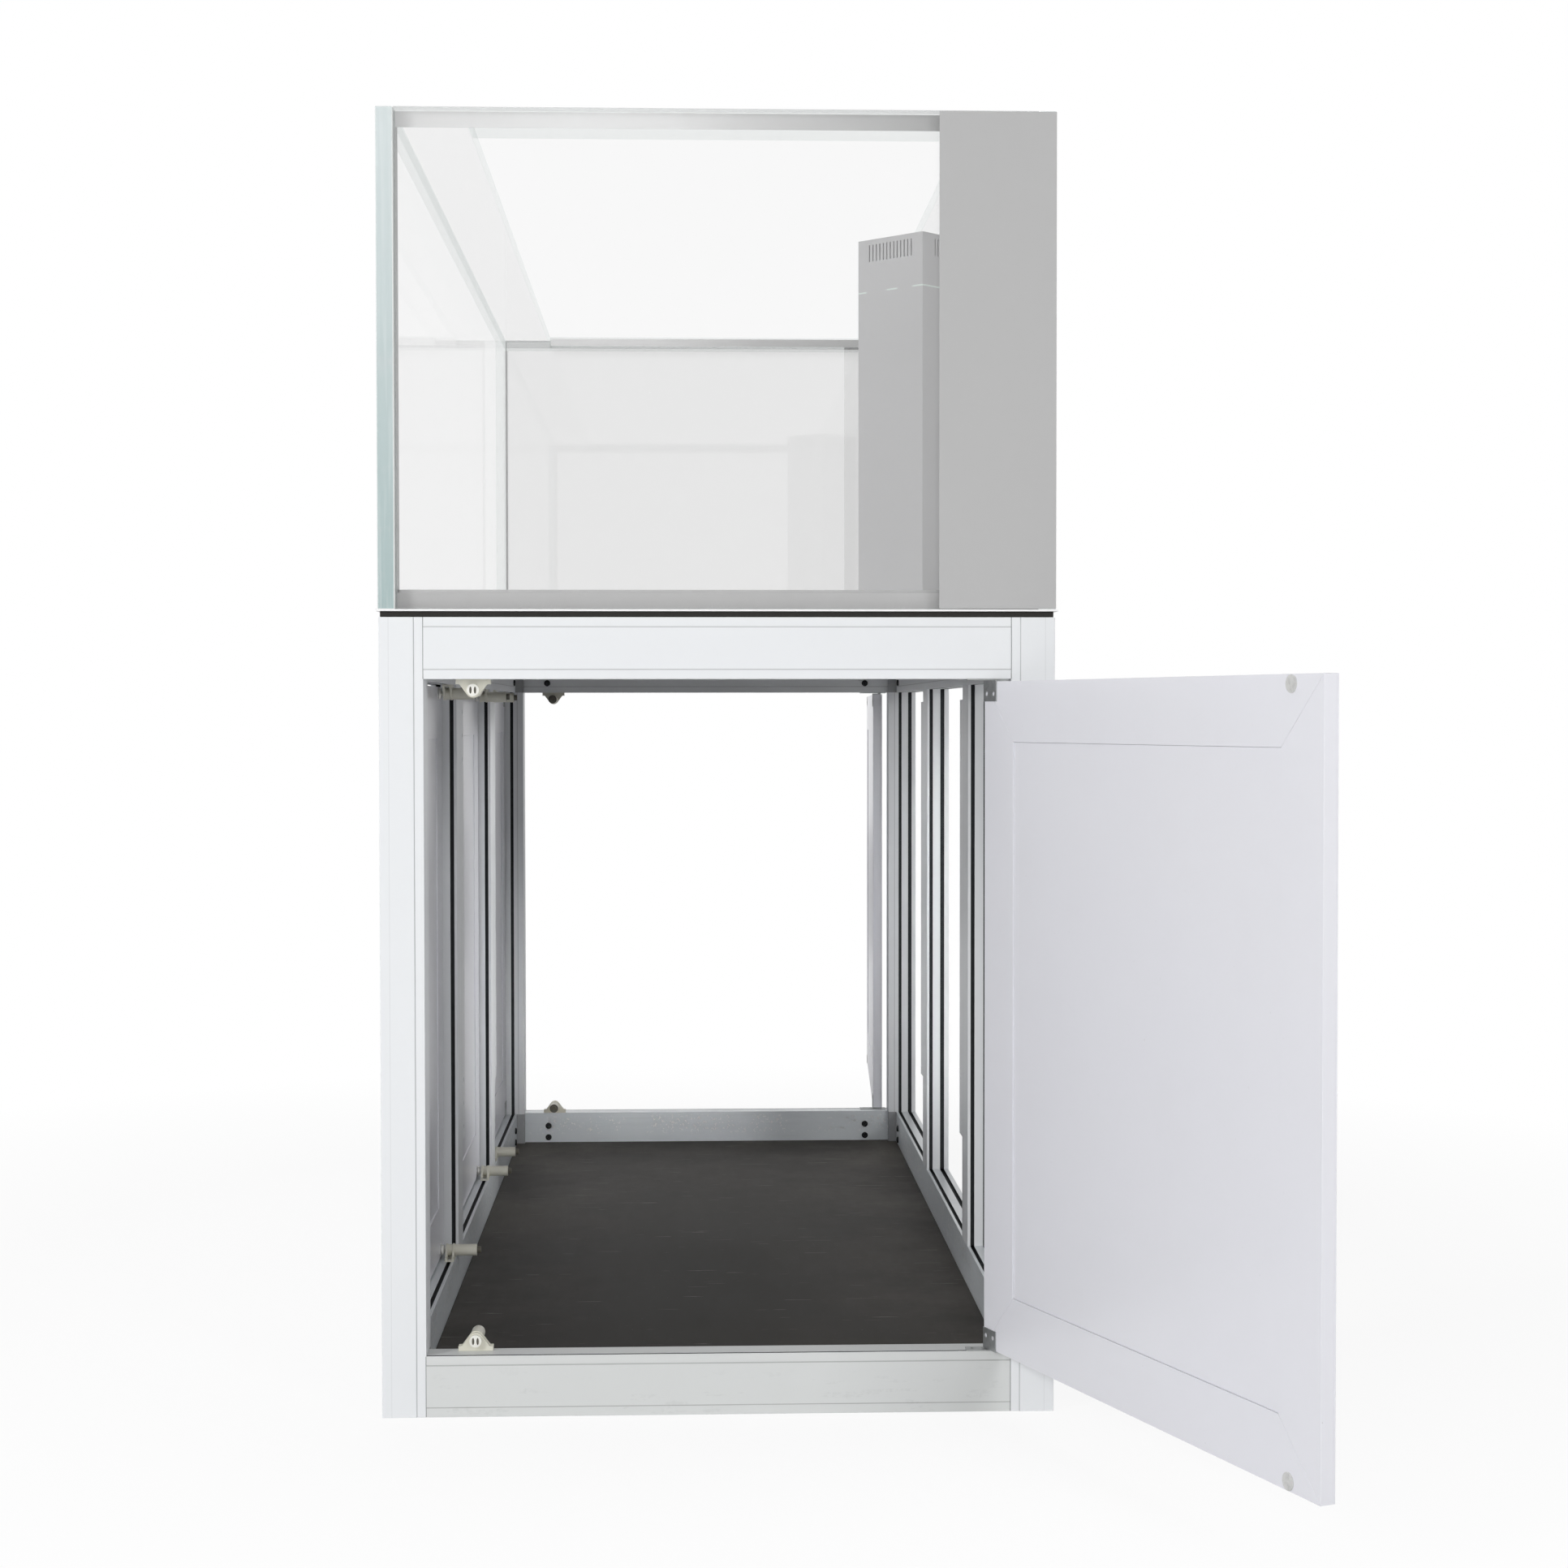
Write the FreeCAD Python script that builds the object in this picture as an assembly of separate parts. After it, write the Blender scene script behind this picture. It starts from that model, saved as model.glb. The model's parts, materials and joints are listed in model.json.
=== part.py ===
"""Reef aquarium on an aluminium-framed cabinet, in millimetres.

Frame of the part: the origin is the middle of the footprint, on the floor. +Z is up, +Y runs
along the length and +X across the width. The front end is at -Y, the back end at +Y. The left
side carries three doors, the right side is open for the pipework.
"""
import FreeCAD, Part
import math
import os

Vector = FreeCAD.Vector

# ---------------------------------------------------------------- driving sizes
stand_width = 750.0
stand_length = 1800.0
stand_height = 890.0

post_size = 49.0            # corner post, square
rail_height = 68.5          # rails that close the openings, seen from outside
mullion_width = 68.0        # uprights between the side bays
member_depth = 35.0         # rails and mullions, outside to inside
member_wall = 3.0
face_strip = 10.6           # edge strip that runs beside every opening
face_step = 0.8             # how far the strip lies back from the face

side_slot_out = 8.0         # outer slot of the side members, from the outer face
side_slot_out_width = 6.0
side_slot_in = 26.0         # inner slot of the side members, from the outer face
side_slot_in_width = 5.0
end_slot_out = 1.5          # slot of the end rails, from the outer face
end_slot_width = 3.5
slot_depth = 5.0

ledge_width = 12.0          # foot of the rail section that carries the boards
ledge_thick = 4.0
floor_board_thick = 16.0
top_board_thick = 15.0
board_gap = 0.5
beam_width = 55.0
beam_height = 31.0
beam_from_drain = 9.0       # from the nuts of the drains below the overflow

block_length = 45.0
block_gap = 0.3
screw_head_r = 5.5
screw_head_height = 3.2
screw_shank_r = 3.0
screw_length = 14.0
screw_from_post = 42.0
screw_from_opening_low = 23.3
screw_from_opening_high = 16.7
screw_pitch = 20.4
hole_clearance = 0.05       # radial, for shanks, pins and stems

door_thick = 16.0
facing_thick = 2.0
door_gap = 3.0
door_stile = 67.0
panel_recess = 1.5
panel_gap = 0.2
mitre_gap = 0.3

pivot_in = 11.0             # pivot axis, from the hinge edge of a door
pivot_deep = 5.0            # pivot axis, from the outer face of a door
pin_r = 2.5
pin_length = 12.0
leaf_length = 29.0
leaf_height = 22.0
leaf_thick = 1.2
leaf_hole_r = 2.6
leaf_hole_pitch = 16.0
pivot_plate_thick = 1.2
pivot_plate_length = 46.0
pivot_plate_width = 14.0

latch_from_post = 53.0      # latch axis, from the free side of an opening
latch_drop = 12.0           # latch axis, from the rail that carries it
latch_web = 3.0
latch_flange_depth = 12.0
latch_ear_half = 19.5
latch_ear_height = 5.5
latch_web_half = 15.5
latch_hub_r = 8.5
barrel_r = 7.6
barrel_length = 29.0
adjuster_r = 4.6
adjuster_length = 5.0
stem_r = 3.0
stem_length = 34.0
bore_spare = 4.0
head_r = 6.8
head_thick = 3.0
plunger_stroke = 2.4
latch_clear = 0.4           # magnet head to strike, door closed
strike_r = 8.5
strike_thick = 1.2
small_screw_r = 1.6
small_screw_head_r = 3.0
small_screw_head_height = 0.8
small_screw_length = 9.0
ear_screw_half = 17.0       # half the spacing of the screws in a latch's ears

front_door_open = 111.2     # degrees
back_door_open = 93.0

strip_width = 35.0          # drilled angle beside each mullion
strip_leg = 16.0
strip_thick = 2.5
strip_low = 205.0
strip_high = 802.0
strip_hole_r = 3.2
strip_hole_pitch = 32.0
strip_hole_inset = 16.0

base_sheet_thick = 2.0
base_sheet_proud = 2.0
mat_thick = 6.5
mat_inset = 1.5

tank_width = 752.0
tank_length = 1802.0
tank_height = 551.5
glass = 19.0
brace_left = 101.0
brace_right = 95.0
brace_end = 72.0
edge_polish = 1.2           # flat chamfer on the top edges of the glass

weir_side = 111.0           # square overflow tower, turned 45 degrees
weir_wall = 6.0
weir_near = 400.0           # its corner nearest the front end, from the centre of the tank
weir_corner_gap = 6.0       # its right corner, from the right pane
weir_top = 1410.0
weir_slot_width = 2.0
weir_slot_pitch = 6.0
weir_slot_height = 22.0
weir_slot_drop = 7.0
weir_slot_margin = 14.0

drain_bore_r = 16.0
drain_flange_r = 26.0
drain_flange_thick = 6.0
drain_body_r = 20.0
drain_pitch = 56.0
drain_nut_r = 26.5
drain_nut_thick = 12.0
drain_tail = 18.0

# ---------------------------------------------------------------- sizes that follow
half_width = stand_width / 2
half_length = stand_length / 2
opening_half = half_width - post_size
side_run = stand_length - 2 * post_size
opening_low = rail_height
opening_high = stand_height - rail_height
inner_x = half_width - member_depth
inner_y = half_length - member_depth
bay = (side_run - 2 * mullion_width) / 3
mullion_starts = [-half_length + post_size + bay, -half_length + post_size + 2 * bay + mullion_width]
door_height = opening_high - opening_low - 2 * door_gap
flange_at = door_thick + strike_thick + latch_clear + head_thick + plunger_stroke
mat_bottom = stand_height
sheet_bottom = mat_bottom + mat_thick
tank_bottom = sheet_bottom + base_sheet_thick
tank_top = tank_bottom + tank_height

X = Vector(1, 0, 0)
Y = Vector(0, 1, 0)
Z = Vector(0, 0, 1)


# ---------------------------------------------------------------- shapes
class Axes:
    """Local axes u, v, w with an origin, so one description serves every side of the stand."""

    def __init__(self, origin, u, v, w):
        self.origin = origin
        self.u = u
        self.v = v
        self.w = w

    def at(self, u, v, w):
        return self.origin + self.u * u + self.v * v + self.w * w

    def prism(self, outline, w0, w1):
        """The outline, (u, v) points, carried from w0 to w1."""
        points = [self.at(u, v, w0) for u, v in outline]
        face = Part.Face(Part.makePolygon(points + points[:1]))
        return face.extrude(self.w * (w1 - w0))

    def block(self, u, v, w):
        """A box between the two values given on each axis."""
        outline = [(u[0], v[0]), (u[1], v[0]), (u[1], v[1]), (u[0], v[1])]
        return self.prism(outline, w[0], w[1])

    def rod_v(self, u, w, radius, v0, v1):
        return Part.makeCylinder(radius, v1 - v0, self.at(u, v0, w), self.v)

    def rod_w(self, u, v, radius, w0, w1):
        return Part.makeCylinder(radius, w1 - w0, self.at(u, v, w0), self.w)


WORLD = Axes(Vector(0, 0, 0), X, Y, Z)


def turned(shape, centre, degrees):
    """A copy of the shape, turned about the vertical line through centre."""
    copy = shape.copy()
    copy.rotate(centre, Z, degrees)
    return copy


def hex_socket(axes, u, w, v0, depth, across):
    """Six-sided socket of a screw head, sunk from v0."""
    radius = across / math.sqrt(3)
    points = []
    for i in range(6):
        angle = math.radians(60 * i)
        points.append(axes.at(u + radius * math.cos(angle), v0, w + radius * math.sin(angle)))
    return Part.Face(Part.makePolygon(points + points[:1])).extrude(axes.v * depth)


def save(name, solids):
    shapes = solids if isinstance(solids, list) else [solids]
    shape = shapes[0] if len(shapes) == 1 else Part.makeCompound(shapes)
    shape.exportStep(os.path.join("parts", name + ".step"))
    volume = sum(s.Volume for s in shape.Solids)
    print("%-26s %3d solid(s) %10.1f cm3 valid %s" % (name, len(shape.Solids), volume / 1000, shape.isValid()))


# ---------------------------------------------------------------- frame members
def member(axes, length, height, slots, openings, ledge=None):
    """Hollow frame section, u from the outer face inwards and v across it, carried along w.

    openings says which long edges face an opening: "high", or "both" for a mullion. slots lists
    (start, width) across the depth. ledge is the (low, high) of the foot that carries a board.
    """
    step = face_step
    both = openings == "both"
    outline = [(step, 0), (step, face_strip), (0, face_strip), (0, height - face_strip)]
    outline += [(step, height - face_strip), (step, height)]
    for start, width in slots:
        outline += [(start, height), (start, height - slot_depth)]
        outline += [(start + width, height - slot_depth), (start + width, height)]
    outline += [(member_depth, height)]
    if ledge:
        outline += [(member_depth, ledge[1]), (member_depth + ledge_width, ledge[1])]
        outline += [(member_depth + ledge_width, ledge[0]), (member_depth, ledge[0])]
    outline += [(member_depth, 0)]
    if both:
        for start, width in reversed(slots):
            outline += [(start + width, 0), (start + width, slot_depth)]
            outline += [(start, slot_depth), (start, 0)]
    hollow = cavity(height, both)
    return axes.prism(outline, 0, length).cut(axes.block(hollow[0], hollow[1], (-1, length + 1)))


def cavity(height, both):
    """The (u, v) ranges of a member's hollow."""
    high = height - slot_depth - member_wall
    low = slot_depth + member_wall if both else member_wall
    return (face_step + member_wall, member_depth - member_wall), (low, high)


def joint_block(axes, height, both, end, direction):
    """Block that fills a member's hollow for block_length, from an end of the member."""
    hollow = cavity(height, both)
    u = (hollow[0][0] + block_gap, hollow[0][1] - block_gap)
    v = (hollow[1][0] + block_gap, hollow[1][1] - block_gap)
    w = sorted((end, end + direction * block_length))
    return axes.block(u, v, w)


def screw_spots(name):
    """Distances across a rail of its two screws, nearer the opening on the top rails."""
    from_opening = screw_from_opening_low if "bottom" in name else screw_from_opening_high
    return [rail_height - from_opening, rail_height - from_opening - screw_pitch]


def joint_screw(axes, v, w):
    """Button-head screw through the inner wall of a rail into its joint block."""
    facing = Axes(axes.at(member_depth, v, w), axes.v, axes.u, axes.w)
    head = facing.rod_v(0, 0, screw_head_r, 0, screw_head_height)
    rim = head.Edges
    top = [e for e in rim if abs((e.CenterOfMass - facing.origin).dot(facing.v) - screw_head_height) < 0.01]
    head = head.makeFillet(screw_head_height * 0.55, top[:1])
    shank = facing.rod_v(0, 0, screw_shank_r, -screw_length, 0.01)
    return head.fuse(shank).cut(hex_socket(facing, 0, 0, screw_head_height - 2.0, 2.5, 4.0))


def rail_axes():
    """Axes and length of the eight rails, by name."""
    rails = {}
    low, high = 0, stand_height
    spans = {"front": (-half_length, Y), "back": (half_length, -Y)}
    for end, (y, inward) in spans.items():
        rails[end + "_bottom_rail"] = (Axes(Vector(-opening_half, y, low), inward, Z, X), 2 * opening_half)
        rails[end + "_top_rail"] = (Axes(Vector(-opening_half, y, high), inward, -Z, X), 2 * opening_half)
    for side, (x, inward) in {"left": (-half_width, X), "right": (half_width, -X)}.items():
        start = -side_run / 2
        rails[side + "_bottom_rail"] = (Axes(Vector(x, start, low), inward, Z, Y), side_run)
        rails[side + "_top_rail"] = (Axes(Vector(x, start, high), inward, -Z, Y), side_run)
    return rails


def side_slots():
    return [(side_slot_out, side_slot_out_width), (side_slot_in, side_slot_in_width)]


def build_rails():
    rails, blocks, screws = {}, [], []
    for name, (axes, length) in rail_axes().items():
        end_rail = name.startswith(("front", "back"))
        slots = [(end_slot_out, end_slot_width)] if end_rail else side_slots()
        foot = (0, ledge_thick) if "bottom" in name else (top_board_thick, top_board_thick + ledge_thick)
        rail = member(axes, length, rail_height, slots, "high", foot)
        for end, direction in ((0, 1), (length, -1)):
            block = joint_block(axes, rail_height, False, end, direction)
            for v in screw_spots(name):
                w = end + direction * screw_from_post
                hole_r = screw_shank_r + hole_clearance
                hole = Axes(axes.at(0, v, w), axes.v, axes.u, axes.w).rod_v(
                    0, 0, hole_r, member_depth - screw_length - 1, member_depth + 1)
                rail = rail.cut(hole)
                block = block.cut(hole)
                screws.append(joint_screw(axes, v, w))
            blocks.append(block)
        rails[name] = rail
    return rails, blocks, screws


def mullion_axes():
    """Axes of the four mullions, by name: v runs across the mullion, along the stand."""
    axes = {}
    for side, (x, inward) in {"left": (-half_width, X), "right": (half_width, -X)}.items():
        for i, start in enumerate(mullion_starts):
            axes["%s_mullion_%d" % (side, i + 1)] = Axes(Vector(x, start, opening_low), inward, Y, Z)
    return axes


def build_mullions():
    height = opening_high - opening_low
    mullions, blocks = {}, []
    for name, axes in mullion_axes().items():
        mullions[name] = member(axes, height, mullion_width, side_slots(), "both")
        for end, direction in ((0, 1), (height, -1)):
            blocks.append(joint_block(axes, mullion_width, True, end, direction))
    return mullions, blocks


def post(axes):
    """Corner post: u and v run inwards from its two outer faces, slots on the side bay's face."""
    s, size, edge = face_step, post_size, post_size - face_strip
    outline = [(0, 0), (edge, 0), (edge, s), (size, s), (size, size)]
    for start, width in reversed(side_slots()):
        outline += [(start + width, size), (start + width, size - slot_depth)]
        outline += [(start, size - slot_depth), (start, size)]
    outline += [(s, size), (s, edge), (0, edge)]
    inside = (s + member_wall, size - member_wall)
    short = (s + member_wall, size - slot_depth - member_wall)
    return axes.prism(outline, 0, stand_height).cut(axes.block(inside, short, (-1, stand_height + 1)))


def build_posts():
    posts = {}
    for end, (y, in_y) in {"front": (-half_length, Y), "back": (half_length, -Y)}.items():
        for side, (x, in_x) in {"left": (-half_width, X), "right": (half_width, -X)}.items():
            posts["%s_%s_post" % (end, side)] = post(Axes(Vector(x, y, 0), in_x, in_y, Z))
    return posts


# ---------------------------------------------------------------- boards, beams and strips
def board(low, thick):
    """Board inside the rails, notched round the four posts."""
    x, y = inner_x - board_gap, inner_y - board_gap
    shape = WORLD.block((-x, x), (-y, y), (low, low + thick))
    notch_x, notch_y = opening_half - board_gap, half_length - post_size - board_gap
    for sx in (-1, 1):
        for sy in (-1, 1):
            xs = sorted((sx * notch_x, sx * half_width))
            ys = sorted((sy * notch_y, sy * half_length))
            shape = shape.cut(WORLD.block(xs, ys, (low - 1, low + thick + 1)))
    return shape


def floor_board():
    """Floor that reaches the ground, rebated where it rests on the rails' ledges."""
    x, y = inner_x - ledge_width - board_gap, inner_y - ledge_width - board_gap
    step = WORLD.block((-half_width, half_width), (-half_length, half_length), (-1, ledge_thick))
    return board(0, floor_board_thick).cut(step.cut(WORLD.block((-x, x), (-y, y), (-2, ledge_thick))))


def cross_beams():
    """Beams from side to side under the top board, clear of the drains, notched round the ledges."""
    beams = []
    top = stand_height - top_board_thick
    near = drain_spots()[1][1] + drain_nut_r + beam_from_drain
    for start in (near, -near - beam_width):
        beam = WORLD.block((-inner_x, inner_x), (start, start + beam_width), (top - beam_height, top))
        hollow_y = (start + member_wall, start + beam_width - member_wall)
        hollow_z = (top - beam_height + member_wall, top - member_wall)
        beam = beam.cut(WORLD.block((-half_width, half_width), hollow_y, hollow_z))
        reach = inner_x - ledge_width - block_gap
        for xs in ((-half_width, -reach), (reach, half_width)):
            notch_z = (top - ledge_thick - block_gap, top + 1)
            beam = beam.cut(WORLD.block(xs, (start - 1, start + beam_width + 1), notch_z))
        beams.append(beam)
    return beams


def mounting_strips():
    """Drilled angle on the far face of each mullion, level with its inner face."""
    strips = []
    for axes in mullion_axes().values():
        u0 = member_depth - strip_leg
        low, high = strip_low - opening_low, strip_high - opening_low
        near, far = mullion_width, mullion_width + strip_width
        outline = [(u0, near), (member_depth, near), (member_depth, far), (member_depth - strip_thick, far)]
        outline += [(member_depth - strip_thick, near + strip_thick), (u0, near + strip_thick)]
        strip = axes.prism(outline, low, high)
        for i in range(3):
            for w in (high - strip_hole_inset - i * strip_hole_pitch, low + strip_hole_inset + i * strip_hole_pitch):
                origin = axes.at(member_depth - 2 * strip_thick, mullion_width + strip_width / 2, w)
                strip = strip.cut(Part.makeCylinder(strip_hole_r, 4 * strip_thick, origin, axes.u))
        strips.append(strip)
    return strips


# ---------------------------------------------------------------- doors and latches
class Door:
    """An inset door: u from its hinge edge, v from its outer face, w up. It is shut at angle 0."""

    def __init__(self, name, hinge_corner, along, inward, opening_width, rest_angle):
        self.name = name
        self.width = opening_width - 2 * door_gap
        self.opening_width = opening_width
        self.axes = Axes(hinge_corner + along * door_gap + Z * (opening_low + door_gap), along, inward, Z)
        self.frame_axes = Axes(hinge_corner + Z * opening_low, along, inward, Z)
        self.pivot = self.axes.at(pivot_in, pivot_deep, 0)
        turn = along.cross(inward * -1).z
        self.angle = rest_angle * (1 if turn > 0 else -1)

    def placed(self, shape):
        return turned(shape, self.pivot, self.angle)

    def frame(self):
        """Four mitred members behind the facing, a hair apart at the mitres."""
        w, h, m, g = self.width, door_height, door_stile, mitre_gap / 2
        low = [(g, 0), (w - g, 0), (w - m - g, m), (m + g, m)]
        high = [(u, h - v) for u, v in low]
        left = [(0, g), (0, h - g), (m, h - m - g), (m, m + g)]
        right = [(w - u, v) for u, v in left]
        flat = Axes(self.axes.at(0, facing_thick, 0), self.axes.u, self.axes.w, self.axes.v)
        solids = [flat.prism(outline, 0, door_thick - facing_thick) for outline in (low, right, high, left)]
        ends = ((-1, pin_length + 1), (h - pin_length - 1, h + 1))
        cleared = []
        for solid in solids:
            for w0, w1 in ends:
                solid = solid.cut(self.axes.rod_w(pivot_in, pivot_deep, pin_r + hole_clearance, w0, w1))
            for w0 in self.strike_heights():
                solid = solid.cut(self.screw_hole(w0))
            cleared.append(solid)
        return [self.placed(s) for s in cleared]

    def strike_heights(self):
        return [latch_drop - door_gap, door_height - latch_drop + door_gap]

    def strike_u(self):
        return self.width + door_gap - latch_from_post

    def screw_hole(self, w):
        return self.axes.rod_v(self.strike_u(), w, small_screw_r + hole_clearance,
                               door_thick - small_screw_length, door_thick + strike_thick + 1)

    def panel(self):
        """Outer facing sheet over the whole door, and the infill between the members."""
        facing = self.axes.block((0, self.width), (0, facing_thick), (0, door_height))
        inset = door_stile + panel_gap
        infill = self.axes.block((inset, self.width - inset), (facing_thick, door_thick - panel_recess),
                                 (inset, door_height - inset))
        return [self.placed(facing), self.placed(infill)]

    def fittings(self):
        """Two hinge leaves in the hinge corners, two strike discs with their screws."""
        solids = []
        for low in (True, False):
            edge = 0 if low else door_height
            up = 1 if low else -1
            corner = Axes(self.axes.at(0, 0, edge), self.axes.u, self.axes.v, Z * up)
            upright = corner.block((0, leaf_length), (door_thick, door_thick + leaf_thick), (-leaf_thick, leaf_height))
            flat = corner.block((0, leaf_length), (facing_thick, door_thick + leaf_thick), (-leaf_thick, 0))
            leaf = upright.fuse(flat).removeSplitter()
            leaf = leaf.cut(corner.rod_w(pivot_in, pivot_deep, pin_r + hole_clearance, -leaf_thick - 1, 1))
            middle = leaf_length / 2
            for u in (middle - leaf_hole_pitch / 2, middle + leaf_hole_pitch / 2):
                leaf = leaf.cut(corner.rod_v(u, leaf_height * 0.62, leaf_hole_r, door_thick - 1, door_thick + 3))
            solids.append(leaf)
        for w in self.strike_heights():
            disc = self.axes.rod_v(self.strike_u(), w, strike_r, door_thick, door_thick + strike_thick)
            disc = disc.cut(self.screw_hole(w))
            solids.append(disc)
            shank = self.axes.rod_v(self.strike_u(), w, small_screw_r, door_thick - small_screw_length + 1,
                                    door_thick + strike_thick - 0.1)
            solids.append(shank)
        return [self.placed(s) for s in solids]

    def pivot_plates(self):
        """Plates on the rails above and below the door, each with the pin that the door turns on."""
        plates = []
        for low in (True, False):
            edge = -door_gap if low else door_height + door_gap
            up = 1 if low else -1
            corner = Axes(self.axes.at(0, 0, edge), self.axes.u, self.axes.v, Z * up)
            first = pivot_deep - pivot_plate_width / 2 + 4.0
            ends = (0, pivot_plate_length)
            plate = corner.block(ends, (first - 2.0, first + pivot_plate_width), (0, pivot_plate_thick))
            pin = corner.rod_w(pivot_in, pivot_deep, pin_r, 0, door_gap + pin_length)
            plate = plate.fuse(pin).removeSplitter()
            for u in (pivot_plate_length - 7.0, pivot_plate_length - 19.0):
                sink = corner.rod_w(u, first + pivot_plate_width / 2, small_screw_r, -1, pivot_plate_thick + 1)
                plate = plate.cut(sink)
            plates.append(plate)
        return plates

    def latch_axes(self):
        """Axes of the two latches: u across, v inwards from the outer face, w away from the rail."""
        u = self.opening_width - latch_from_post
        bottom = Axes(self.frame_axes.at(u, 0, 0), self.axes.u, self.axes.v, Z)
        top = Axes(self.frame_axes.at(u, 0, opening_high - opening_low), self.axes.u, self.axes.v, -Z)
        return {"bottom": bottom, "top": top}



def latch_body(axes):
    """Push latch: two webs on an ear plate, a hub and a barrel with its adjuster."""
    v0 = flange_at
    v1 = v0 + latch_flange_depth
    ears = axes.block((-latch_ear_half, latch_ear_half), (v0, v1), (0, 3.0))
    webs = []
    dx, dz = latch_web_half, latch_ear_height - latch_drop
    reach = math.hypot(dx, dz)
    angle = math.atan2(dz, dx) + math.acos(latch_hub_r / reach)
    tu, tw = latch_hub_r * math.cos(angle), latch_drop + latch_hub_r * math.sin(angle)
    outline = [(-latch_ear_half, 0), (latch_ear_half, 0), (latch_ear_half, latch_ear_height)]
    outline += [(latch_web_half, latch_ear_height), (tu, tw), (-tu, tw)]
    outline += [(-latch_web_half, latch_ear_height), (-latch_ear_half, latch_ear_height)]
    for start in (v0, v1 - latch_web):
        points = [axes.at(u, start, w) for u, w in outline]
        web = Part.Face(Part.makePolygon(points + points[:1])).extrude(axes.v * latch_web)
        webs.append(web.fuse(axes.rod_v(0, latch_drop, latch_hub_r, start, start + latch_web)))
    barrel = axes.rod_v(0, latch_drop, barrel_r, v0, v1 + barrel_length)
    adjuster = axes.rod_v(0, latch_drop, adjuster_r, v1 + barrel_length, v1 + barrel_length + adjuster_length)
    body = ears.fuse(webs + [barrel, adjuster]).removeSplitter()
    end = v1 + barrel_length + adjuster_length
    body = body.cut(axes.block((-0.6, 0.6), (end - 1.2, end + 1), (latch_drop - adjuster_r, latch_drop + adjuster_r)))
    bore_end = v0 - plunger_stroke + stem_length + plunger_stroke + bore_spare
    body = body.cut(axes.rod_v(0, latch_drop, stem_r + hole_clearance, v0 - 1, bore_end))
    for u in (-ear_screw_half, ear_screw_half):
        body = body.cut(axes.rod_w(u, (v0 + v1) / 2, small_screw_r + hole_clearance, -1, 4.0))
    return body


def latch_plunger(axes):
    """Magnet head on its stem, at the end of its outward stroke."""
    v0 = flange_at - plunger_stroke - head_thick
    head = axes.rod_v(0, latch_drop, head_r, v0, v0 + head_thick)
    stem = axes.rod_v(0, latch_drop, stem_r, v0, v0 + head_thick + stem_length)
    plunger = head.fuse(stem).removeSplitter()
    for side in (-1, 1):
        groove = axes.rod_v(side * 1.5, latch_drop, head_r - 2.6, v0 - 1, v0 + 0.6)
        groove = groove.cut(axes.rod_v(-side * 0.4, latch_drop, head_r - 2.2, v0 - 1, v0 + 1))
        plunger = plunger.cut(groove)
    return plunger


def latch_screws(axes):
    """Round-head screws through the ears, into the rail's opening face."""
    middle = flange_at + latch_flange_depth / 2
    screws = []
    for u in (-ear_screw_half, ear_screw_half):
        head = axes.rod_w(u, middle, small_screw_head_r - 1.0, 3.0, 3.0 + small_screw_head_height)
        shank = axes.rod_w(u, middle, small_screw_r, 0.2, 3.0)
        screws.append(head.fuse(shank).removeSplitter())
    return screws


def all_doors():
    """The doors at both ends and the three in the left side."""
    doors = []
    right, left = opening_half, -opening_half
    doors.append(Door("front_door", Vector(right, -half_length, 0), -X, Y, 2 * opening_half, front_door_open))
    doors.append(Door("back_door", Vector(right, half_length, 0), -X, -Y, 2 * opening_half, back_door_open))
    bay_starts = [-half_length + post_size] + [y + mullion_width for y in mullion_starts]
    for i, start in enumerate(bay_starts):
        if i < 2:
            corner, along = Vector(-half_width, start, 0), Y
        else:
            corner, along = Vector(-half_width, start + bay, 0), -Y
        doors.append(Door("side_door_%d" % (i + 1), corner, along, X, bay, 0.0))
    return doors


# ---------------------------------------------------------------- tank
def polished(shape):
    """The top edges of a pane, with the narrow flat that a glazier grinds on them."""
    top = shape.BoundBox.ZMax
    edges = [e for e in shape.Edges if abs(e.BoundBox.ZMin - top) < 0.01 and abs(e.BoundBox.ZMax - top) < 0.01]
    return shape.makeChamfer(edge_polish, edges)


def weir_corners():
    """Corners of the overflow tower: near, right, far, left."""
    reach = weir_side / math.sqrt(2)
    x = tank_width / 2 - glass - weir_corner_gap - reach
    y = -weir_near + reach
    return [(x, y - reach), (x + reach, y), (x, y + reach), (x - reach, y)], (x, y)


def overflow_tower():
    """Four walls turned 45 degrees, the two that face the front slotted along the top."""
    corners, (cx, cy) = weir_corners()
    floor = tank_bottom + glass
    centre = Vector(cx, cy, floor)
    half, wall, height = weir_side / 2, weir_wall, weir_top - floor
    walls = []
    for i in range(4):
        facing = Axes(centre, X, Y, Z)
        span = (-half, half) if i % 2 == 0 else (-half + wall, half - wall)
        solid = facing.block(span, (-half, -half + wall), (0, height))
        count = int((span[1] - span[0] - 2 * weir_slot_margin) / weir_slot_pitch)
        start = -(count - 1) * weir_slot_pitch / 2
        for k in range(count):
            u = start + k * weir_slot_pitch
            low = height - weir_slot_drop - weir_slot_height
            slot = facing.block((u - weir_slot_width / 2, u + weir_slot_width / 2), (-half - 1, -half + wall + 1),
                                (low, low + weir_slot_height))
            solid = solid.cut(slot)
        walls.append(turned(solid, centre, -45 + 90 * i))
    return walls


def drain_spots():
    centre = weir_corners()[1]
    return [(centre[0], centre[1] - drain_pitch / 2), (centre[0], centre[1] + drain_pitch / 2)]


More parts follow.
